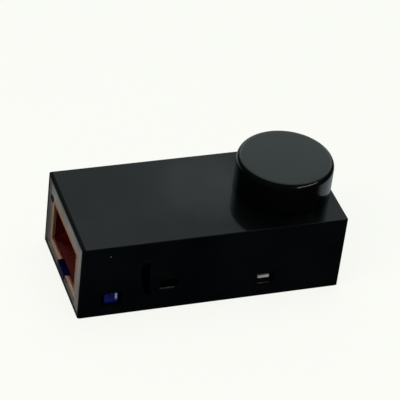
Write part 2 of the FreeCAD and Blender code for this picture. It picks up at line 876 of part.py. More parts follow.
def tray_body():
    body = block((tray_front, tray_back), around(0, tray_half_width), (tray_bottom, floor_z))
    inside = tray_half_width - tray_wall
    hollow_x = (tray_front + tray_front_wall, tray_back - tray_back_wall)
    body = body.cut(block(hollow_x, (-inside, inside), (tray_floor_top, floor_z + 1)))
    lip = [(tray_front - 1, ramp_foot[1]), ramp_foot, (funnel_back, floor_z)]
    above = lip + [(funnel_back, floor_z + 2), (tray_front - 1, floor_z + 2)]
    body = body.cut(prism_y(above, (-half_width, half_width)))
    body = body.cut(tab_plate())
    body = body.cut(rod_y(front_shaft_x, pinch_z, axle_radius + running_gap, (-half_width, half_width)))
    for cut in roller_windows(front_shaft_x, 6.0, (tray_bottom - 1, tray_floor_top + 1)):
        body = body.cut(cut)
    return body


def tray_ramp():
    inside = tray_half_width - tray_wall
    back = tray_back - tray_back_wall
    under = floor_z - ramp_thickness
    slope = (floor_z - ramp_foot[1]) / (funnel_back - ramp_foot[0])
    knee = funnel_back + 0.7
    outline = [
        ramp_foot,
        (funnel_back, floor_z),
        (back, floor_z),
        (back, under),
        (knee, under),
        (knee - (under - tray_floor_top) / slope, tray_floor_top),
        (ramp_foot[0], tray_floor_top),
    ]
    ramp = prism_y(outline, (-inside, inside))
    for cut in roller_windows(front_shaft_x, roller_window_half, (under - 1, floor_z + 1)):
        ramp = ramp.cut(cut)
    return ramp.cut(tab_plate())


def tab_plate():
    return block(tab_x, tab_y, tab_z)


def pull_tab():
    flap = block((tab_x[0], tab_x[0] + tab_flap_thickness), tab_y, (tab_flap_foot, tab_z[1]))
    tab = joined([tab_plate(), flap])
    front_edges = edges_along(tab, (0, 1, 0), lambda p: p.x < tab_x[0] + 0.1)
    return tab.makeFillet(tab_edge_radius, front_edges)


def lower_sensor_board():
    inside = tray_half_width - tray_wall
    z = (23.4, 25.0)
    board = block((-76.0, -64.0), (-inside, inside), z)
    return joined([board] + sensor_row(-69.0, (z[1], z[1] + 1.8)))


def build():
    far_end_a = lane_a + lane_width + flange_thickness
    far_end_b = lane_b + lane_width + flange_thickness
    frame = side_frame()
    return {
        "housing": housing(),
        "base_plate": base_plate(),
        "base_screws": base_screws(),
        "mounting_inserts": mounting_inserts(),
        "mouth_bezel": mouth_bezel(),
        "mouth_liner": mouth_liner(),
        "entry_funnel": entry_funnel(),
        "tray_rails": tray_rails(),
        "upper_guide": upper_guide(),
        "lower_guide": lower_guide(),
        "exit_deflector": exit_deflector(),
        "side_frame_near": other_side(frame),
        "side_frame_far": frame,
        "tie_bars": tie_bars(),
        "shaft_bushes": shaft_bushes(),
        "control_board": control_board(),
        "board_components": board_components(),
        "board_screws": board_screws(),
        "upper_sensor_board": upper_sensor_board(),
        "magnetic_head": magnetic_head(),
        "light_pipe": light_pipe(),
        "encoder_sensor": encoder_sensor(),
        "drive_motor": drive_motor(),
        "motor_bracket": motor_bracket(),
        "front_belt": belt((front_shaft_x, rear_shaft_x), lane_a),
        "rear_belt": belt((rear_shaft_x, counter_shaft_x), lane_b),
        "rear_connector": rear_connector(),
        "rear_connector_pins": rear_connector_pins(),
        "service_socket_shell": service_socket_shell(),
        "service_socket_tongue": service_socket_tongue(),
        "service_board": service_board(),
        "switch_body": switch_body(),
        "switch_board": switch_board(),
        "knob_bush": knob_bush(),
        "knob_cap": knob_cap(),
        "knob_spindle": knob_spindle(),
        "knob_bevel_gear": knob_bevel_gear(),
        "spindle_clip": spindle_clip(),
        "counter_shaft": counter_shaft(),
        "shaft_bevel_gear": shaft_bevel_gear(),
        "drive_gear": drive_gear(),
        "drive_pulley": pulley(counter_shaft_x, lane_b, 1),
        "motor_shaft": motor_shaft(),
        "motor_pinion": motor_pinion(),
        "front_feed_shaft": feed_shaft(front_shaft_x, far_end_a),
        "front_feed_tyres": feed_tyres(front_shaft_x),
        "front_pulley": pulley(front_shaft_x, lane_a, 1),
        "encoder_disc": encoder_disc(),
        "rear_feed_shaft": feed_shaft(rear_shaft_x, far_end_b),
        "rear_feed_tyres": feed_tyres(rear_shaft_x),
        "rear_pulley": pulley(rear_shaft_x, lane_a, 2),
        "front_pinch_roller": pinch_roller(front_shaft_x),
        "rear_pinch_roller": pinch_roller(rear_shaft_x),
        "tray_body": tray_body(),
        "tray_ramp": tray_ramp(),
        "pull_tab": pull_tab(),
        "lower_sensor_board": lower_sensor_board(),
        "service_button": service_button(),
        "switch_plunger": switch_plunger(),
    }


os.makedirs("parts", exist_ok=True)
for name, shape in build().items():
    shape.exportStep("parts/" + name + ".step")
    print(name, "solids", len(shape.Solids), "valid", shape.isValid(), "volume", round(shape.Volume))
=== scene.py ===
import json
import math
import bpy
from mathutils import Matrix, Vector


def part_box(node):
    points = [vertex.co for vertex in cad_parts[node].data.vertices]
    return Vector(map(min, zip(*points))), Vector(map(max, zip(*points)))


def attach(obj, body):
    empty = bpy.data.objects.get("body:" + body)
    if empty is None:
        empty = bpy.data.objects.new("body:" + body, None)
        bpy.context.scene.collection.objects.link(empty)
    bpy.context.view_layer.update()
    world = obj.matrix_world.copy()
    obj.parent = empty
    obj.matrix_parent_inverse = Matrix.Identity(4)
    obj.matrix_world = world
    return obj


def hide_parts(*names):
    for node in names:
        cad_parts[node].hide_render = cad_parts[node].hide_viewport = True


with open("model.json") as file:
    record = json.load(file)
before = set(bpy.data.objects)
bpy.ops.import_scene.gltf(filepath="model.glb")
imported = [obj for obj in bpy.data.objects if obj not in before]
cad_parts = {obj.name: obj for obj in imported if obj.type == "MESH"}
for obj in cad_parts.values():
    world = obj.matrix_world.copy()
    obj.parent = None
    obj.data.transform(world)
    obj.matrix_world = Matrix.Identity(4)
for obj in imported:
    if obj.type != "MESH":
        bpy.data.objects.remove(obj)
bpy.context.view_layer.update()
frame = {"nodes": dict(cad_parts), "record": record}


# shader maths: an output that takes + - *
class Value:
    def __init__(self, tree, socket):
        self.tree = tree
        self.socket = socket

    def combine(self, operation, first, second):
        mathNode = self.tree.nodes.new("ShaderNodeMath")
        mathNode.operation = operation
        for index, part in enumerate((first, second)):
            if isinstance(part, Value):
                self.tree.links.new(part.socket, mathNode.inputs[index])
            else:
                mathNode.inputs[index].default_value = part
        return Value(self.tree, mathNode.outputs[0])

    def __add__(self, other):
        return self.combine("ADD", self, other)

    def __sub__(self, other):
        return self.combine("SUBTRACT", self, other)

    def __rsub__(self, other):
        return self.combine("SUBTRACT", other, self)

    def __mul__(self, other):
        return self.combine("MULTIPLY", self, other)

    __radd__ = __add__
    __rmul__ = __mul__


# one material, or the world, as a tree of nodes
class Finish:
    def __init__(self, name, tree=None):
        if tree is None:
            self.material = bpy.data.materials.new(name)
            self.material.use_nodes = True
            tree = self.material.node_tree
            self.shader = tree.nodes["Principled BSDF"]
        self.tree = tree

    def add(self, kind, settings=None, sockets=None, output=0):
        node = self.tree.nodes.new(kind)
        for key, setting in (settings or {}).items():
            setattr(node, key, setting)
        for key, part in (sockets or {}).items():
            if isinstance(part, Value):
                self.tree.links.new(part.socket, node.inputs[key])
            else:
                node.inputs[key].default_value = part
        return Value(self.tree, node.outputs[output])

    def fixed(self, **sockets):  # the same all over the surface
        for key, number in sockets.items():
            self.shader.inputs[socketNames[key]].default_value = number

    def drive(self, **sockets):  # what varies over the surface
        for key, part in sockets.items():
            self.tree.links.new(part.socket, self.shader.inputs[socketNames[key]])

    def place(self, stretch=(1, 1, 1)):
        coords = self.add("ShaderNodeTexCoord", output="Object")
        if stretch == (1, 1, 1):
            return coords
        return self.add("ShaderNodeMapping", {}, {"Vector": coords, "Scale": stretch})

    def noise(self, scale, detail=3.0, roughness=0.55, stretch=(1, 1, 1)):
        sockets = {"Vector": self.place(stretch), "Scale": scale, "Detail": detail, "Roughness": roughness}
        return self.add("ShaderNodeTexNoise", {}, sockets)

    def cells(self, scale):
        return self.add("ShaderNodeTexVoronoi", {}, {"Vector": self.place(), "Scale": scale})

    def between(self, part, low, high):  # rises smoothly from 0 at low to 1 at high
        sockets = {"Value": part, "From Min": low, "From Max": high}
        return self.add("ShaderNodeMapRange", {"interpolation_type": "SMOOTHSTEP"}, sockets)

    def below(self, part, low, high):  # 1 up to low, 0 from high on
        return 1.0 - self.between(part, low, high)

    def blendColour(self, mask, first, second):
        pair = {"Factor": mask, 6: toColour(first), 7: toColour(second)}
        return self.add("ShaderNodeMix", {"data_type": "RGBA"}, pair, output=2)

    def facing(self, axis):  # how far the surface faces along +X, +Y or +Z
        normal = self.add("ShaderNodeNewGeometry", output="Normal")
        return self.add("ShaderNodeSeparateXYZ", {}, {0: normal}, output=axis)

    def along(self, axis):  # the place on the piece, in metres
        return self.add("ShaderNodeSeparateXYZ", {}, {0: self.place()}, output=axis)

    def bump(self, height, strength, distance):
        sockets = {"Height": height, "Strength": strength, "Distance": distance}
        self.drive(normal=self.add("ShaderNodeBump", {}, sockets))


socketNames = {
    "colour": "Base Color", "rough": "Roughness", "metal": "Metallic", "coat": "Coat Weight",
    "coatRough": "Coat Roughness", "specular": "Specular IOR Level", "normal": "Normal",
    "glow": "Emission Color", "glowStrength": "Emission Strength",
    "anisotropy": "Anisotropic", "sheen": "Sheen Weight",
}


def toColour(part):
    if isinstance(part, Value):
        return part
    return (*part, 1.0)


# finishes, colours as red, green and blue of 0 to 1
def mouldedPlastic(name, dark, light, rough, grain=2600.0, dust=0.0, coat=0.0):
    # a spark-eroded mould skin, faint flow marks and rubbed patches
    finish = Finish(name)
    flow = finish.noise(28.0, 4.0, 0.6, (1.0, 1.6, 1.0))
    skin = finish.noise(grain, 2.0, 0.5)
    rubbed = finish.between(finish.noise(60.0, 5.0, 0.62), 0.52, 0.72)
    colour = finish.blendColour(finish.between(flow, 0.35, 0.68), dark, light)
    if dust:
        specks = finish.below(finish.cells(900.0), 0.05, 0.16)
        speckled = specks * finish.between(finish.noise(35.0, 3.0), 0.5, 0.7) * dust
        colour = finish.blendColour(speckled, colour, (0.22, 0.215, 0.2))
    finish.drive(colour=colour, rough=rough + 0.1 * (flow - 0.5) - 0.09 * rubbed)
    finish.fixed(coat=coat, coatRough=0.12, specular=0.5)
    finish.bump(skin, 0.35, 0.00003)
    return finish


def brushedMetal(name, dark, light, rough, stretch=(1.0, 26.0, 26.0)):
    # fine lines across the stretched axes, dulled in patches
    finish = Finish(name)
    lines = finish.noise(420.0, 4.0, 0.65, stretch)
    tarnish = finish.between(finish.noise(45.0, 4.0, 0.6), 0.4, 0.75)
    finish.drive(
        colour=finish.blendColour(finish.between(lines, 0.3, 0.7) * 0.7 + 0.3 * tarnish, light, dark),
        rough=rough + 0.16 * (lines - 0.5) + 0.12 * tarnish,
    )
    finish.fixed(metal=1.0, anisotropy=0.3)
    finish.bump(lines, 0.3, 0.00002)
    return finish


def softRubber(name, dark, light):
    # ground surface with open pores and a pale bloom
    finish = Finish(name)
    pores = finish.cells(1700.0)
    bloom = finish.between(finish.noise(70.0, 5.0, 0.65), 0.42, 0.72)
    finish.drive(colour=finish.blendColour(bloom, dark, light), rough=0.62 + 0.22 * bloom)
    finish.fixed(specular=0.35, sheen=0.15)
    finish.bump(pores, 0.4, 0.00004)
    return finish


caseWear = {  # rims are measured in from the case's edges
    "sideRim": (0.0008, 0.0003), "mouthRim": (0.0030, 0.0026), "rearRim": (0.0012, 0.0004),
    "patch": (0.01, 0.01), "patchCore": 0.012, "patchEnd": 0.046, "patchSquash": 0.85,
}


def caseBlack():
    # satin on its upper face, dull along that face's edges, and nearly black on its upright walls; the upper
    # face's colour is painted darker than the walls', painted shade
    low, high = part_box("housing")
    finish = Finish("caseBlack")
    flow = finish.noise(16.0, 4.0, 0.58, (1.0, 1.5, 1.0))
    skin = finish.noise(3200.0, 2.0, 0.5)
    haze = finish.noise(11.0, 3.0, 0.55)
    top = finish.between(finish.facing("Z"), 0.35, 0.95)
    front = finish.below(finish.facing("X"), -0.95, -0.35)
    specks = finish.below(finish.cells(520.0), 0.03, 0.1)
    scarce = finish.between(finish.noise(48.0, 2.0), 0.6, 0.72)
    stain = finish.between(flow, 0.35, 0.7)
    plastic = finish.blendColour(stain, (0.0009, 0.0017, 0.0023), (0.0018, 0.0031, 0.0041))
    # painted shade: the upper face is given a darker colour than the walls
    paintedShadeOnTop = finish.blendColour(top, plastic, (0.0005, 0.0008, 0.0009))
    length, width = finish.along("X"), finish.along("Y")
    sideStart, sideEnd = [(high.y - margin) ** 2 for margin in caseWear["sideRim"]]
    sides = finish.between(width * width, sideStart, sideEnd)
    mouthStart, mouthEnd = [low.x + margin for margin in caseWear["mouthRim"]]
    mouthRim = finish.below(length, mouthEnd, mouthStart)
    rearStart, rearEnd = [high.x - margin for margin in caseWear["rearRim"]]
    rearRim = finish.between(length, rearStart, rearEnd)
    kept = (1.0 - sides * 0.85) * (1.0 - mouthRim) * (1.0 - rearRim * 0.8)
    away = length - caseWear["patch"][0]
    beside = (width - caseWear["patch"][1]) * caseWear["patchSquash"]
    reach = away * away + beside * beside  # worn by hands beside the knob
    rubbed = finish.below(reach, caseWear["patchCore"] ** 2, caseWear["patchEnd"] ** 2)
    finish.drive(
        colour=finish.blendColour(specks * scarce * 0.3, paintedShadeOnTop, (0.05, 0.052, 0.05)),
        rough=0.42 + 0.14 * (flow - 0.5),
        coat=top * kept * (0.4 + 0.4 * (haze - 0.5) + 0.34 * rubbed * haze) + front * 0.1,
    )
    finish.fixed(coatRough=0.1, specular=0.04)
    finish.bump(skin + flow * 0.6, 0.16, 0.00003)
    return finish


def knobBlack():
    # polished wall, finely matted top; the top is painted a lighter colour than the wall, painted light
    finish = Finish("knobBlack")
    top = finish.between(finish.facing("Z"), 0.93, 0.998)
    flow = finish.noise(20.0, 4.0, 0.6)
    skin = finish.noise(2800.0, 2.0, 0.5)
    wipes = finish.between(finish.noise(36.0, 5.0, 0.7, (1.0, 3.5, 1.0)), 0.5, 0.78)
    finish.drive(
        # painted light: the top is given a lighter colour than the wall
        colour=finish.blendColour(top, (0.0008, 0.0010, 0.0010), (0.0030, 0.0044, 0.0042)),
        rough=0.3 + 0.2 * top + 0.07 * (flow - 0.5),
        coat=0.8 - 0.33 * top + 0.05 * wipes,
    )
    finish.fixed(coatRough=0.055, specular=0.15)
    finish.bump(skin * top, 0.25, 0.00003)
    return finish


# where the bezel is darker: its far upright, a painted shadow line, and its foot
bezelDarkBandsAndShadow = {
    "farUpright": (0.0405, 0.0425), "paintedShadowLine": (0.0445, 0.0462), "paintedShadowTop": (0.034, 0.044),
    "foot": (0.0052, 0.0066), "footEnd": (-0.04, -0.034),
}


def bezelGrey():
    # grey face, darker along its far upright and its foot, with a painted shadow line beside the opening's
    # far edge
    finish = Finish("bezelGrey")
    flow = finish.noise(28.0, 4.0, 0.6, (1.0, 1.6, 1.0))
    skin = finish.noise(1900.0, 2.0, 0.5)
    specks = finish.below(finish.cells(900.0), 0.05, 0.16)
    across, up = finish.along("Y"), finish.along("Z")
    far = finish.between(across, *bezelDarkBandsAndShadow["farUpright"])
    # painted shadow: a near-black line beside the opening's far edge, in its lower part
    paintedShadowLine = finish.below(across, *bezelDarkBandsAndShadow["paintedShadowLine"]) * finish.below(up, *bezelDarkBandsAndShadow["paintedShadowTop"])
    foot = finish.below(up, *bezelDarkBandsAndShadow["foot"]) * finish.between(across, *bezelDarkBandsAndShadow["footEnd"])
    clean = finish.blendColour(finish.between(flow, 0.35, 0.68), (0.135, 0.121, 0.11), (0.19, 0.174, 0.16))
    dusty = finish.blendColour(specks * 0.2, clean, (0.26, 0.25, 0.235))
    # darker along the far upright
    darkStripAndPaintedGlint = finish.blendColour(far * 0.85, dusty, (0.03, 0.032, 0.029))
    # painted shadow line
    withPaintedShadowLine = finish.blendColour(far * paintedShadowLine * 0.9, darkStripAndPaintedGlint, (0.005, 0.005, 0.004))
    # darker brown along the foot, but not at the near end
    finish.drive(
        colour=finish.blendColour(foot * (0.6 + 0.5 * (flow - 0.5)), withPaintedShadowLine, (0.012, 0.008, 0.006)),
        rough=0.5 + 0.1 * (flow - 0.5),
    )
    finish.fixed(specular=0.4)
    finish.bump(skin, 0.35, 0.00005)
    return finish


def copperMetal():
    # copper-coloured shield, brushed along its frame and tarnished brown in patches
    finish = Finish("copperMetal")
    lines = finish.noise(380.0, 4.0, 0.65, (22.0, 1.0, 9.0))
    tarnish = finish.between(finish.noise(85.0, 5.0, 0.65), 0.42, 0.7)
    bright = finish.blendColour(finish.between(lines, 0.3, 0.72), (0.46, 0.23, 0.14), (0.78, 0.43, 0.28))
    finish.drive(
        colour=finish.blendColour(tarnish * 0.75, bright, (0.22, 0.105, 0.06)),
        rough=0.33 + 0.14 * tarnish + 0.12 * (lines - 0.5),
        metal=0.9 - 0.35 * tarnish,
    )
    finish.bump(lines, 0.25, 0.00002)
    return finish


def deepRed():
    # infrared-clear resin: deep red, clouded, with orange flecks that are partly moulded-in colour and partly
    # painted highlights, much stronger on upward faces
    finish = Finish("deepRed")
    cloud = finish.between(finish.noise(70.0, 4.0, 0.6), 0.35, 0.7)
    flecksAndPaintedGlints = finish.below(finish.cells(430.0), 0.08, 0.26)
    patchy = finish.between(finish.noise(130.0, 4.0, 0.7), 0.5, 0.68)
    floor = finish.between(finish.facing("Z"), 0.5, 0.85)
    base = finish.blendColour(cloud, (0.022, 0.0009, 0.0008), (0.046, 0.0022, 0.0016))
    finish.drive(
        # painted highlights: the orange flecks are painted far stronger on upward faces
        colour=finish.blendColour(flecksAndPaintedGlints * patchy * (0.15 + 0.85 * floor) * 0.8, base, (0.3, 0.055, 0.02)),
        rough=0.2 + 0.16 * cloud,
    )
    finish.fixed(specular=0.08)
    finish.bump(cloud + 0.5 * flecksAndPaintedGlints, 0.25, 0.00005)
    return finish


# where the painted glint and the painted highlight lie on the blue pieces
bluePaintedGlints = {
    "barStart": (-0.0806, -0.0799), "barEnd": (-0.0785, -0.0781), "barFoot": (0.0135, 0.0175),
    "tabSide": (0.0028, 0.0042), "tabFront": (-0.112, -0.1095),
}


def bluePlastic(name, dark, light, rough, coat, paintedGlintColour):
    # dyed through, with a painted glint on the upper half of the button's raised bar and a painted highlight
    # along the tab's far front corner
    finish = Finish(name)
    flow = finish.noise(60.0, 4.0, 0.6)
    skin = finish.noise(2200.0, 2.0, 0.5)
    length = finish.along("X")
    bar = finish.between(length, *bluePaintedGlints["barStart"]) * finish.below(length, *bluePaintedGlints["barEnd"])
    upper = finish.between(finish.along("Z"), *bluePaintedGlints["barFoot"])
    # painted glint on the raised bar's upper half
    darkStripAndPaintedGlint = bar * upper * finish.between(finish.noise(900.0, 3.0, 0.6), 0.35, 0.6)
    # painted highlight along the tab's far front corner
    side = finish.between(finish.along("Y"), *bluePaintedGlints["tabSide"])
    edge = side * finish.below(length, *bluePaintedGlints["tabFront"])
    dyed = finish.blendColour(finish.between(flow, 0.35, 0.68), dark, light)
    colour = finish.blendColour(darkStripAndPaintedGlint * 0.8 + edge * 0.12, dyed, paintedGlintColour)
    finish.drive(colour=colour, rough=rough + 0.15 * (flow - 0.5))
    finish.fixed(coat=coat, coatRough=0.12, specular=0.12)
    finish.bump(skin, 0.35, 0.00003)
    return finish


def boardGreen():
    # solder resist over copper tracks, with tinned vias
    finish = Finish("boardGreen")
    bricks = {"Scale": 95.0, "Mortar Size": 0.02, "Brick Width": 0.9, "Row Height": 0.16}
    bricks["Vector"] = finish.place()
    tracks = finish.add("ShaderNodeTexBrick", {"offset": 0.5}, bricks, output="Fac")
    vias = finish.below(finish.cells(260.0), 0.09, 0.13)
    weave = finish.noise(900.0, 2.0)
    resist = finish.blendColour(tracks, (0.008, 0.06, 0.024), (0.02, 0.12, 0.045))
    finish.drive(
        colour=finish.blendColour(vias, resist, (0.55, 0.53, 0.47)),
        rough=0.32 + 0.1 * (weave - 0.5),
        metal=vias * 0.9,
    )
    finish.fixed(coat=0.4, coatRough=0.1)
    finish.bump(tracks + weave * 0.2, 0.3, 0.00004)
    return finish


def clearPlastic():
    finish = Finish("clearPlastic")
    flow = finish.noise(220.0, 3.0)
    colour = finish.blendColour(flow, (0.2, 0.22, 0.23), (0.34, 0.36, 0.36))
    finish.drive(colour=colour, rough=0.06 + 0.1 * (flow - 0.4))
    finish.fixed(coat=0.6, coatRough=0.03, specular=0.6)
    return finish


finishes = {
    "case_black": caseBlack(),
    "zinc_steel": brushedMetal("zincSteel", (0.36, 0.355, 0.34), (0.56, 0.56, 0.55), 0.34),
    "brass": brushedMetal("turnedBrass", (0.44, 0.3, 0.12), (0.72, 0.53, 0.25), 0.28, (26.0, 26.0, 1.0)),
    "bezel_grey": bezelGrey(),
    "copper_metal": copperMetal(),
    "deep_red": deepRed(),
    "guide_black": mouldedPlastic(
        "guideBlack", (0.006, 0.006, 0.007), (0.013, 0.013, 0.014), 0.42, dust=0.15),
    "frame_steel": brushedMetal(
        "frameSteel", (0.012, 0.012, 0.013), (0.035, 0.035, 0.037), 0.45, (1.0, 18.0, 18.0)),
    "bush_bronze": brushedMetal("bushBronze", (0.05, 0.035, 0.02), (0.12, 0.085, 0.05), 0.5, (8.0, 8.0, 8.0)),
    "board_green": boardGreen(),
    "chip_black": mouldedPlastic("chipBlack", (0.01, 0.01, 0.011), (0.022, 0.022, 0.022), 0.5, 4200.0),
    "head_metal": brushedMetal("headMetal", (0.26, 0.25, 0.24), (0.46, 0.45, 0.44), 0.25, (1.0, 30.0, 30.0)),
    "clear_plastic": clearPlastic(),
    "motor_can": brushedMetal("motorCan", (0.34, 0.34, 0.35), (0.54, 0.54, 0.55), 0.3, (22.0, 1.0, 22.0)),
    "belt_rubber": softRubber("beltRubber", (0.008, 0.008, 0.008), (0.02, 0.02, 0.019)),
    "connector_black": mouldedPlastic("connectorBlack", (0.009, 0.009, 0.01), (0.018, 0.018, 0.019), 0.45),
    "gold_pins": brushedMetal("goldPins", (0.55, 0.38, 0.13), (0.85, 0.64, 0.3), 0.2, (1.0, 12.0, 12.0)),
    "socket_metal": brushedMetal("socketMetal", (0.07, 0.07, 0.07), (0.2, 0.2, 0.2), 0.35, (9.0, 1.0, 9.0)),
    "tongue_grey": mouldedPlastic("tongueGrey", (0.3, 0.3, 0.295), (0.42, 0.42, 0.41), 0.4, coat=0.2),
    "knob_black": knobBlack(),
    "shaft_steel": brushedMetal("shaftSteel", (0.42, 0.42, 0.42), (0.64, 0.64, 0.63), 0.2, (24.0, 1.0, 24.0)),
    "gear_white": mouldedPlastic("gearWhite", (0.6, 0.59, 0.55), (0.75, 0.74, 0.7), 0.38, coat=0.1),
    "pulley_black": mouldedPlastic("pulleyBlack", (0.012, 0.012, 0.012), (0.028, 0.028, 0.027), 0.4),
    "pinion_brass": brushedMetal(
        "pinionBrass", (0.46, 0.32, 0.13), (0.72, 0.54, 0.26), 0.26, (20.0, 1.0, 20.0)),
    "tyre_rubber": softRubber("tyreRubber", (0.016, 0.016, 0.018), (0.045, 0.044, 0.043)),
    # the last colour of each blue finish is its painted glint and highlight colour
    "blue_plastic": bluePlastic(
        "bluePlastic", (0.0002, 0.0003, 0.009), (0.0006, 0.0008, 0.024), 0.4, 0.03, (0.35, 0.4, 0.7)),
    "blue_button": bluePlastic(
        "blueButton", (0.002, 0.004, 0.05), (0.005, 0.010, 0.12), 0.2, 0.8, (0.5, 0.55, 0.95)),
    "clear_grey": mouldedPlastic("clearGrey", (0.36, 0.36, 0.36), (0.5, 0.5, 0.5), 0.4),
}
print("finishes made:", len(finishes))

# every CAD piece wears its slot's finish, and a piece modelled below takes its place
slotOf = {part["node"]: part["material_slot"] for part in frame["record"]["subparts"]}
bodyOf = {node: body for body, nodes in frame["record"]["behaviour"]["bodies"].items() for node in nodes}
for nodeName, cadPiece in frame["nodes"].items():
    for materialSlot in cadPiece.material_slots:
        materialSlot.material = finishes[slotOf[nodeName]].material


# modelling helpers
def clearSelection():
    bpy.ops.object.select_all(action="DESELECT")


def activate(piece):
    clearSelection()
    piece.select_set(True)
    bpy.context.view_layer.objects.active = piece


def slab(name, low, high):  # a box between two corners
    clearSelection()
    middle = (Vector(low) + Vector(high)) / 2
    bpy.ops.mesh.primitive_cube_add(size=1, location=middle, scale=Vector(high) - Vector(low))
    return settle(name)


def roundBar(name, middle, radius, depth, axis="Z", sides=64):
    turn = {"X": (0, math.pi / 2, 0), "Y": (math.pi / 2, 0, 0), "Z": (0, 0, 0)}[axis]
    clearSelection()
    bpy.ops.mesh.primitive_cylinder_add(
        vertices=sides, radius=radius, depth=depth, location=middle, rotation=turn)
    return settle(name)


def settle(name):  # names the new piece and puts its origin at the part's
    piece = bpy.context.object
    piece.name = name
    bpy.ops.object.transform_apply(location=True, rotation=True, scale=True)
    return piece


def edit(piece, kind):
    activate(piece)
    bpy.ops.object.mode_set(mode="EDIT")
    bpy.ops.mesh.select_mode(type=kind)
    bpy.ops.mesh.select_all(action="DESELECT")
    bpy.ops.object.mode_set(mode="OBJECT")


def pickFaces(piece, test):
    edit(piece, "FACE")
    for face in piece.data.polygons:
        face.select = test(face.center, face.normal)
    bpy.ops.object.mode_set(mode="EDIT")


def pickEdges(piece, test):
    edit(piece, "EDGE")
    for edge in piece.data.edges:
        ends = [piece.data.vertices[index].co for index in edge.vertices]
        edge.select = test(*ends)
    bpy.ops.object.mode_set(mode="EDIT")


def leaveEdit():
    bpy.ops.object.mode_set(mode="OBJECT")


def inset(thickness, depth=0.0):
    bpy.ops.mesh.inset(thickness=thickness, depth=depth)


def push(x=0.0, y=0.0, z=0.0):  # extrudes the picked faces
    bpy.ops.mesh.extrude_region_move(TRANSFORM_OT_translate={"value": (x, y, z)})


def apply(piece, kind, **settings):
    activate(piece)
    modifier = piece.modifiers.new(kind.title(), kind)
    for key, setting in settings.items():
        setattr(modifier, key, setting)
    bpy.ops.object.modifier_apply(modifier=modifier.name)


def carve(piece, *cutters):
    for cutter in cutters:
        apply(piece, "BOOLEAN", operation="DIFFERENCE", object=cutter, solver="EXACT")
        bpy.data.objects.remove(cutter)


def weld(piece, *others):
    for other in others:
        apply(piece, "BOOLEAN", operation="UNION", object=other, solver="EXACT")
        bpy.data.objects.remove(other)


def joinUp(piece, others):
    activate(piece)
    for other in others:
        other.select_set(True)
    bpy.ops.object.join()


def soften(piece, width, segments=2, angle=35.0):
    limit = math.radians(angle)
    apply(piece, "BEVEL", width=width, segments=segments, limit_method="ANGLE", angle_limit=limit)
    smooth(piece)


def smooth(piece, angle=35.0):
    activate(piece)
    bpy.ops.object.shade_smooth_by_angle(angle=math.radians(angle))


def hand(piece, node, replaced=True, slot=None):  # gives the piece the finish and body of its node, and hides that node when the piece replaces it
    slotName = slot or slotOf[node]
    piece.data.materials.clear()
    piece.data.materials.append(finishes[slotName].material)
    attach(piece, bodyOf[node])
    if replaced:
        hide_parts(node)
    clearSelection()
    print("piece", piece.name, len(piece.data.polygons), "faces")


# knob
knob = {
    "rimRadius": 0.005, "rimSteps": 14, "crown": 0.0004, "crownRings": 5, "sides": 192,
    "wall": 0.003, "lip": 0.0005,
    "bossRadius": 0.009, "bossFoot": 0.002, "boreRadius": 0.0041, "boreDepth": 0.018,
    "ribs": 6, "ribThickness": 0.002, "ribFoot": 0.008, "ribTop": 0.004,
}
tiny = 1e-5  # slack when a face or edge is picked by its place


def makeKnob():
    low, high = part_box("knob_cap")
    radius = (high.x - low.x) / 2
    middle = (low + high) / 2
    crownBase = high.z - knob["crown"]
    body = (middle.x, middle.y, (low.z + crownBase) / 2)
    cap = roundBar("knobCap", body, radius, crownBase - low.z, "Z", knob["sides"])
    pickEdges(cap, lambda a, b: a.z > crownBase - tiny and b.z > crownBase - tiny)
    bpy.ops.mesh.bevel(offset=knob["rimRadius"], segments=knob["rimSteps"], profile=0.5)
    leaveEdit()
    pickFaces(cap, lambda c, n: n.z > 0.99 and c.z > crownBase - tiny)
    steps = knob["crownRings"] + 1
    for ring in range(knob["crownRings"]):  # the top rises to a faint crown
        start, end = [math.cos(math.pi / 2 * (steps - ring - shift) / steps) for shift in (0, 1)]
        inset((radius - knob["rimRadius"]) / steps, knob["crown"] * (end - start))
    leaveEdit()
    pickFaces(cap, lambda c, n: n.z < -0.99)  # hollow below, with a bored boss in the middle
    inset(knob["lip"])
    inset(knob["wall"] - knob["lip"])
    push(z=crownBase - low.z - knob["wall"])
    inset(radius - knob["wall"] - knob["bossRadius"])
    push(z=low.z + knob["bossFoot"] - crownBase + knob["wall"])
    inset(knob["bossRadius"] - knob["boreRadius"])
    push(z=knob["boreDepth"])
    leaveEdit()
    ribLow = (knob["bossRadius"] - 0.001, -knob["ribThickness"] / 2, low.z + knob["ribFoot"])
    ribHigh = (radius - 0.0025, knob["ribThickness"] / 2, high.z - knob["ribTop"])
    ribs = []
    for turn in range(knob["ribs"]):
        rib = slab("knobRib", ribLow, ribHigh)
        rib.data.transform(Matrix.Rotation(turn * math.tau / knob["ribs"], 4, "Z"))
        rib.data.transform(Matrix.Translation((middle.x, middle.y, 0)))
        ribs.append(rib)
    joinUp(cap, ribs)
    smooth(cap, 30.0)
    hand(cap, "knob_cap")


# mouth
mouth = {
    "openingLow": (-0.0385, 0.0060), "openingHigh": (0.0410, 0.0545),
    "innerLow": (-0.0335, 0.0140), "innerHigh": (0.0335, 0.0500),
    "notchLow": (0.0375, 0.0470), "notchHigh": (0.0440, 0.0525),
    "edge": 0.0003, "grooveInset": 0.0024, "grooveWidth": 0.0007, "grooveDepth": 0.0006,
    "bead": 0.0009, "beadDepth": 0.001, "gap": 0.0003, "padRim": 0.0008, "padDish": 0.0004,
}


def through(low, high):  # a cutter that passes through the mouth along the box
    return slab("cut", (-0.13, low[0], low[1]), (-0.09, high[0], high[1]))


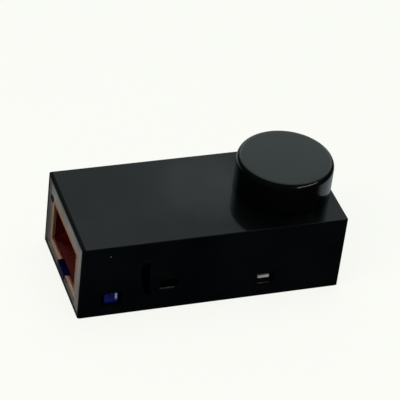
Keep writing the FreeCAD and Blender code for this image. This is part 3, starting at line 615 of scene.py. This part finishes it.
def makeBezel():
    low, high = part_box("mouth_bezel")
    bezel = slab("mouthBezel", low, high)
    carve(bezel, through(mouth["openingLow"], mouth["openingHigh"]))
    carve(bezel, through(mouth["notchLow"], mouth["notchHigh"]))
    near = mouth["grooveInset"]
    far = near + mouth["grooveWidth"]
    grooveHigh = (low.x + mouth["grooveDepth"], high.y - near, high.z - near)
    groove = slab("groove", (low.x - 0.01, low.y + near, low.z + near), grooveHigh)
    carve(groove, through((low.y + far, low.z + far), (high.y - far, high.z - far)))
    carve(bezel, groove)
    soften(bezel, mouth["edge"], 2)
    hand(bezel, "mouth_bezel")


def makeNotchShadePad():  # a black pad filling the notch in the mouth's far upper corner: painted shade in the hole
    low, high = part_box("mouth_bezel")
    gap = mouth["gap"] / 2
    near, foot = mouth["notchLow"]
    far, top = mouth["notchHigh"]
    shadePad = slab("notchShadePad", (low.x + gap, near + gap, foot + gap), (high.x, far - gap, top - gap))
    pickFaces(shadePad, lambda c, n: n.x < -0.99)
    inset(mouth["padRim"])
    inset(mouth["padDish"], -mouth["padDish"])
    leaveEdit()
    soften(shadePad, 0.0002)
    hand(shadePad, "mouth_bezel", False, "case_black")


def makeLiner():
    low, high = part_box("mouth_liner")
    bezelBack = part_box("mouth_bezel")[1].x
    gap = mouth["gap"]
    bead = mouth["bead"]
    outerLow = (low.x + 0.0003, mouth["openingLow"][0] + gap, mouth["openingLow"][1] + gap)
    outerHigh = (bezelBack + 0.0001, mouth["openingHigh"][0] - gap, mouth["openingHigh"][1] - gap)
    liner = slab("mouthLiner", outerLow, outerHigh)
    flange = slab("flange", (bezelBack, low.y, outerLow[2] + 0.004), (high.x, high.y, outerHigh[2] - 0.008))
    weld(liner, flange)
    carve(liner, through(mouth["innerLow"], mouth["innerHigh"]))
    carve(liner, through(mouth["notchLow"], mouth["notchHigh"]))
    yLow, zLow = mouth["innerLow"]
    yHigh, zHigh = mouth["innerHigh"]
    back = low.x + mouth["beadDepth"]
    lips = []
    for z in (zHigh, zLow - bead):  # rolled lips along the inner edges
        lips.append(slab("lip", (low.x, yLow - bead, z), (back, yHigh + bead, z + bead)))
    for y in (yLow - bead, yHigh):
        lips.append(slab("lip", (low.x, y, zLow - bead), (back, y + bead, zHigh + bead)))
    weld(liner, *lips)
    soften(liner, 0.00022, 2)
    hand(liner, "mouth_liner")


# tray
ramp = {
    "kneeX": -0.078, "footZ": 0.0155, "thickness": 0.0015,
    "ribs": 13, "ribWidth": 0.0007, "ribHeight": 0.00035, "ribStart": 0.14,
    "windowY": (-0.018, 0.018), "windowHalfWidth": 0.0066, "windowX": (-0.063, -0.047),
}


def makeRamp():
    low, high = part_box("tray_ramp")
    foot = Vector((low.x, 0, ramp["footZ"]))
    rise = Vector((ramp["kneeX"], 0, high.z)) - foot
    deck = slab("trayRamp", (ramp["kneeX"] - 0.0005, low.y, high.z - ramp["thickness"]), high)
    slope = slab("slope", (low.x, low.y, foot.z - ramp["thickness"]), (ramp["kneeX"], high.y, foot.z))
    pickFaces(slope, lambda c, n: n.x > 0.99)
    bpy.ops.transform.translate(value=(0, 0, rise.z))
    leaveEdit()
    carve(slope, slab("cut", (low.x - 0.01, low.y - 0.01, low.z - 0.01), (high.x, high.y + 0.01, low.z)))
    weld(deck, slope)
    front, back = ramp["windowX"]
    half = ramp["windowHalfWidth"]
    for y in ramp["windowY"]:  # windows over the lower rollers
        carve(deck, slab("cut", (front, y - half, low.z), (back, y + half, high.z + 0.01)))
    tabLow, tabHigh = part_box("pull_tab")
    carve(deck, slab("cut", (tabLow.x, tabLow.y, low.z - 0.01), (tabHigh.x, tabHigh.y, tabHigh.z)))
    pitch = (high.y - low.y) / (ramp["ribs"] + 1)
    start = foot + rise * ramp["ribStart"]
    ribs = []
    for index in range(ramp["ribs"]):
        y = low.y + pitch * (index + 1)
        ribHigh = (ramp["kneeX"], y + ramp["ribWidth"], start.z + ramp["ribHeight"])
        rib = slab("rib", (start.x, y, start.z - 0.0004), ribHigh)
        pickFaces(rib, lambda c, n: n.x > 0.99)
        bpy.ops.transform.translate(value=(0, 0, high.z - start.z - ramp["ribHeight"]))
        leaveEdit()
        ribs.append(rib)
    joinUp(deck, ribs)
    smooth(deck)
    hand(deck, "tray_ramp")


tab = {
    "edge": 0.0005, "plate": 0.0012, "flap": 0.0016, "ribs": 2, "ribDepth": 0.0003, "ribEdge": 0.00025,
    "ribFoot": 0.0008, "ribMargin": 0.0014, "ribEnd": 0.002,
}


def makeTab():
    low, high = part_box("pull_tab")
    front = low.x + tab["ribDepth"]
    body = slab("pullTab", (front, low.y, high.z - tab["plate"]), high)
    weld(body, slab("flap", (front, low.y, low.z), (low.x + tab["flap"], high.y, high.z)))
    soften(body, tab["edge"], 4, 50.0)
    pitch = (high.z - low.z - tab["ribMargin"]) / tab["ribs"]
    end = tab["ribEnd"]
    ribs = []
    for index in range(tab["ribs"]):
        z = low.z + tab["ribFoot"] + pitch * index
        rib = slab("grip", (low.x, low.y + end, z), (front + 0.0005, high.y - end, z + pitch * 0.5))
        soften(rib, tab["ribEdge"])
        ribs.append(rib)
    joinUp(body, ribs)
    smooth(body)
    hand(body, "pull_tab")


# button, socket and status light on the near wall
button = {
    "low": 0.0114, "high": 0.0206, "edge": 0.0009, "rim": 0.0012, "dish": 0.0005, "dishWall": 0.0006,
    "ribX": (-0.0804, -0.0780), "ribZ": (0.0124, 0.0196), "ribHeight": 0.0003, "ribEdge": 0.0011,
    "flangeY": (-0.0492, -0.0482),
}


def makeButton():
    low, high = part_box("service_button")
    face = low.y + button["ribHeight"]
    cap = slab("serviceButton", (low.x, face, button["low"]), (high.x, high.y, button["high"]))
    pickEdges(cap, lambda a, b: a.y < face + tiny and b.y < face + tiny)
    bpy.ops.mesh.bevel(offset=button["edge"], segments=5, profile=0.5)
    leaveEdit()
    pickFaces(cap, lambda c, n: n.y < -0.99)
    inset(button["rim"])
    inset(button["dishWall"], -button["dish"])
    leaveEdit()
    ribLow = (button["ribX"][0], low.y, button["ribZ"][0])
    ribHigh = (button["ribX"][1], low.y + 0.003, button["ribZ"][1])
    rib = slab("buttonRib", ribLow, ribHigh)
    soften(rib, button["ribEdge"], 6)
    flangeNear, flangeFar = button["flangeY"]
    flange = slab("buttonFlange", (low.x, flangeNear, low.z), (high.x, flangeFar, high.z))
    soften(flange, 0.0003)
    joinUp(cap, [rib, flange])
    smooth(cap)
    hand(cap, "service_button")


socket = {
    "skin": 0.0004, "corner": 0.0016, "lip": 0.0003, "fingers": (-0.0028, 0.0028),
    "fingerHalf": 0.0009, "fingerY": (0.0012, 0.0052), "fingerZ": (0.0012, 0.0006), "fingerRise": 0.0004,
}


def makeSocket():
    low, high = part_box("service_socket_shell")
    shell = slab("serviceSocketShell", low, high)
    pickEdges(shell, lambda a, b: abs(a.x - b.x) < tiny and abs(a.z - b.z) < tiny)
    bpy.ops.mesh.bevel(offset=socket["corner"], segments=6, profile=0.5)
    leaveEdit()
    pickFaces(shell, lambda c, n: n.y < -0.99)
    inset(socket["lip"] / 2)
    bpy.ops.transform.translate(value=(0, socket["lip"] / 2, 0))
    leaveEdit()
    pickFaces(shell, lambda c, n: n.y < -0.99)
    inset(socket["skin"] - socket["lip"] / 2)
    push(y=high.y - low.y - socket["skin"] - socket["lip"] / 2)
    leaveEdit()
    middle = (low + high) / 2
    fingers = []
    for shift in socket["fingers"]:  # spring fingers that press on the plug's shell
        x = middle.x + shift
        fingerLow = (x - socket["fingerHalf"], low.y + socket["fingerY"][0], high.z - socket["fingerZ"][0])
        fingerHigh = (x + socket["fingerHalf"], low.y + socket["fingerY"][1], high.z - socket["fingerZ"][1])
        finger = slab("finger", fingerLow, fingerHigh)
        pickFaces(finger, lambda c, n: n.y > 0.99)
        bpy.ops.transform.translate(value=(0, 0, socket["fingerRise"]))
        leaveEdit()
        fingers.append(finger)
    joinUp(shell, fingers)
    smooth(shell, 30.0)
    hand(shell, "service_socket_shell")


contact = {"count": 4, "halfWidth": 0.0005, "end": 0.001, "proud": 0.00025, "edge": 0.0001}


def makeTongue():
    low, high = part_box("service_socket_tongue")
    tongue = slab("socketTongue", low, high)
    pickFaces(tongue, lambda c, n: n.y < -0.99)
    inset(0.0006)
    bpy.ops.transform.translate(value=(0, -0.0001, 0))
    leaveEdit()
    soften(tongue, 0.0004, 3)
    hand(tongue, "service_socket_tongue")
    half = contact["halfWidth"]
    pitch = (high.x - low.x - 2 * contact["end"]) / contact["count"]
    strips = []
    for index in range(contact["count"]):
        x = low.x + contact["end"] + pitch * (index + 0.5)
        stripLow = (x - half, low.y + 0.0006, low.z - contact["proud"])
        strip = slab("contact", stripLow, (x + half, high.y, low.z + 0.0002))
        soften(strip, contact["edge"])
        strips.append(strip)
    contacts = strips[0]
    joinUp(contacts, strips[1:])
    contacts.name = "socketContacts"
    hand(contacts, "service_socket_tongue", False, "gold_pins")


pipeEnd = {
    "radius": 0.0008, "dome": 0.0004, "rings": 4,
    "collarRadius": 0.0022, "collarY": -0.0489, "collarDepth": 0.0012,
}


def makeLightPipe():
    low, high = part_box("light_pipe")
    middle = (low + high) / 2
    dome = pipeEnd["dome"]
    body = (middle.x, middle.y + dome / 2, middle.z)
    pipe = roundBar("lightPipe", body, pipeEnd["radius"], high.y - low.y - dome, "Y", 40)
    pickFaces(pipe, lambda c, n: n.y < -0.99)
    steps = pipeEnd["rings"] + 1
    for ring in range(pipeEnd["rings"]):  # domed face
        start, end = [math.sin(math.pi / 2 * (ring + shift) / steps) for shift in (0, 1)]
        inset(pipeEnd["radius"] / steps, dome * (end - start))
    leaveEdit()
    collarPlace = (middle.x, pipeEnd["collarY"], middle.z)
    collar = roundBar("collar", collarPlace, pipeEnd["collarRadius"], pipeEnd["collarDepth"], "Y", 40)
    weld(pipe, collar)
    smooth(pipe)
    hand(pipe, "light_pipe")


# rollers
tyre = {
    "radius": 0.010, "bore": 0.007, "inner": 0.012, "outer": 0.024, "sides": 96, "edge": 0.0003,
    "grooves": 3, "grooveWidth": 0.0012, "grooveDepth": 0.0007,
}


def makeTyres(node, name):
    low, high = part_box(node)
    middle = (low + high) / 2
    rings = []
    width = tyre["outer"] - tyre["inner"]
    pitch = width / (tyre["grooves"] + 1)
    for side in (-1, 1):
        across = side * (tyre["inner"] + tyre["outer"]) / 2
        ring = roundBar("ring", (middle.x, across, middle.z), tyre["radius"], width, "Y", tyre["sides"])
        pickFaces(ring, lambda c, n: abs(n.y) > 0.99)
        inset(tyre["radius"] - tyre["bore"])
        bpy.ops.mesh.bridge_edge_loops()
        leaveEdit()
        for index in range(tyre["grooves"]):
            place = (middle.x, across - width / 2 + pitch * (index + 1), middle.z)
            floor = tyre["radius"] - tyre["grooveDepth"]
            cutter = roundBar("cut", place, tyre["radius"] + 0.002, tyre["grooveWidth"], "Y", tyre["sides"])
            carve(cutter, roundBar("core", place, floor, 0.01, "Y", tyre["sides"]))
            carve(ring, cutter)
        soften(ring, tyre["edge"], 2, 50.0)
        rings.append(ring)
    joinUp(rings[0], rings[1:])
    rings[0].name = name
    hand(rings[0], node)


# motor
motor = {
    "radius": 0.012, "flat": 0.010, "endCap": 0.005, "edge": 0.0012, "sides": 96,
    "seamWidth": 0.0005, "seamDepth": 0.0004, "boreRadius": 0.0016, "boreLength": 0.016,
    "noseRadius": 0.0034, "noseHeight": 0.0015, "noseLength": 0.0032,
}


def makeMotor():
    low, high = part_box("drive_motor")
    x = (low.x + high.x) / 2
    z = (low.z + high.z) / 2
    face = low.y + motor["noseHeight"]
    sides = motor["sides"]
    can = roundBar("driveMotor", (x, (face + high.y) / 2, z), motor["radius"], high.y - face, "Y", sides)
    for foot in (z - motor["flat"] - 0.01, z + motor["flat"]):  # flats below and above
        carve(can, slab("cut", (x - 0.02, low.y - 0.01, foot), (x + 0.02, high.y + 0.01, foot + 0.01)))
    pickEdges(can, lambda a, b: a.y < face + tiny and b.y < face + tiny)
    bpy.ops.mesh.bevel(offset=motor["edge"], segments=4, profile=0.5)
    leaveEdit()
    nose = (x, low.y + motor["noseLength"] / 2, z)
    weld(can, roundBar("nose", nose, motor["noseRadius"], motor["noseLength"], "Y", 48))
    carve(can, roundBar("bore", (x, low.y + 0.006, z), motor["boreRadius"], motor["boreLength"], "Y", 32))
    seamPlace = (x, high.y - motor["endCap"], z)
    seam = roundBar("seam", seamPlace, motor["radius"] + 0.003, motor["seamWidth"], "Y", sides)
    carve(seam, roundBar("core", seamPlace, motor["radius"] - motor["seamDepth"], 0.004, "Y", sides))
    carve(can, seam)
    smooth(can, 30.0)
    hand(can, "drive_motor")


makeKnob()
makeBezel()
makeNotchShadePad()
makeLiner()
makeRamp()
makeTab()
makeButton()
makeSocket()
makeTongue()
makeLightPipe()
makeTyres("front_feed_tyres", "frontFeedTyres")
makeTyres("rear_feed_tyres", "rearFeedTyres")
makeMotor()
print("pieces made")


# stage, camera and light
stage = {
    "floorRadius": 9.0, "floorDrop": 0.0002,
    "cameraPlace": (-0.51247, -1.26851, 1.09838), "cameraTurn": (52.6844, -5.6814, -17.7529), "lens": 192.671,
    "domeTint": (0.88, 1.0, 1.0, 1.0), "dark": 0.02, "beyond": 0.86,
    "underside": 0.005, "right": 0.36, "mouth": 0.34,
}
lamps = {  # the key lamp is a little warm, and only the strip is mirrored, in the knob's rim
    "keyLamp": {"place": (-1.1, -0.5, 1.5), "size": (1.0, 1.0), "power": 22.0, "tint": (1.0, 0.985, 0.96)},
    "topLamp": {"place": (0.3, 0.3, 2.2), "size": (1.8, 1.8), "power": 34.0},
    "stripLamp": {"place": (0.86, -0.84, 1.22), "aim": (0.07, 0, 0.09), "size": (1.3, 0.09), "power": 3.2,
                  "mirrored": True},
}


def floorFinish():
    finish = Finish("paleFloor")
    mottle = finish.noise(3.0, 3.0)
    tone = finish.blendColour(mottle, (0.0794, 0.0801, 0.0763), (0.0802, 0.0809, 0.0771))
    finish.drive(colour=tone, glow=tone)
    finish.fixed(rough=0.9, specular=0.05, glowStrength=10.8)
    return finish


def makeFloor():
    clearSelection()
    place = (0, 0, -stage["floorDrop"])
    radius = stage["floorRadius"]
    bpy.ops.mesh.primitive_circle_add(vertices=96, radius=radius, fill_type="NGON", location=place)
    floor = settle("paleFloorSheet")
    floor.data.materials.append(floorFinish().material)
    floor.visible_glossy = False


def makeCamera():
    data = bpy.data.cameras.new("viewCamera")
    camera = bpy.data.objects.new("viewCamera", data)
    bpy.context.scene.collection.objects.link(camera)
    camera.location = stage["cameraPlace"]
    camera.rotation_euler = [math.radians(turn) for turn in stage["cameraTurn"]]
    data.sensor_width = 36.0
    data.lens = stage["lens"]
    data.clip_end = 60.0
    bpy.context.scene.camera = camera


def softLamp(name, place, size, power, aim=(0, 0, 0.03), mirrored=False, tint=(1.0, 1.0, 1.0)):
    data = bpy.data.lights.new(name, "AREA")
    data.shape = "RECTANGLE"
    data.size, data.size_y = size
    data.energy = power
    data.color = tint
    lamp = bpy.data.objects.new(name, data)
    lamp.visible_glossy = mirrored
    bpy.context.scene.collection.objects.link(lamp)
    turn = (Vector(aim) - Vector(place)).to_track_quat("-Z", "Y")
    lamp.matrix_world = Matrix.Translation(place) @ turn.to_matrix().to_4x4()


def makeWorld():
    # a studio dome, bright beyond the box; under the horizon it is dark but for two pale patches,
    # one mirrored in the knob's right side and one in the mouth's frame
    world = bpy.data.worlds.new("studioDome")
    bpy.context.scene.world = world
    world.use_nodes = True
    dome = Finish("studioDome", world.node_tree)
    way = dome.add("ShaderNodeTexCoord", output="Generated")

    def along(direction):
        pair = {0: way, 1: direction}
        return dome.add("ShaderNodeVectorMath", {"operation": "DOT_PRODUCT"}, pair, output="Value")

    height = dome.add("ShaderNodeSeparateXYZ", {}, {0: way}, output="Z")
    above = dome.between(height, -0.03, 0.04)
    beyond = dome.between(along((0.3, 0.74, 0.6)), 0.66, 0.93)
    rightEnd = dome.between(along((0.94, 0.342, 0.0)), 0.6, 0.75) * dome.below(height, -0.4, -0.2)
    mouthEnd = dome.between(along((-0.295, 0.730, -0.616)), 0.7, 0.92)
    sky = stage["dark"] + stage["beyond"] * beyond
    ground = stage["underside"] + stage["right"] * rightEnd + stage["mouth"] * mouthEnd
    light = above * sky + (1.0 - above) * ground
    background = world.node_tree.nodes["Background"]
    background.inputs["Color"].default_value = stage["domeTint"]
    world.node_tree.links.new(light.socket, background.inputs["Strength"])


makeFloor()
makeCamera()
makeWorld()
for lampName, settings in lamps.items():
    softLamp(lampName, **settings)
bpy.context.scene.view_settings.view_transform = "Standard"
print("stage made")
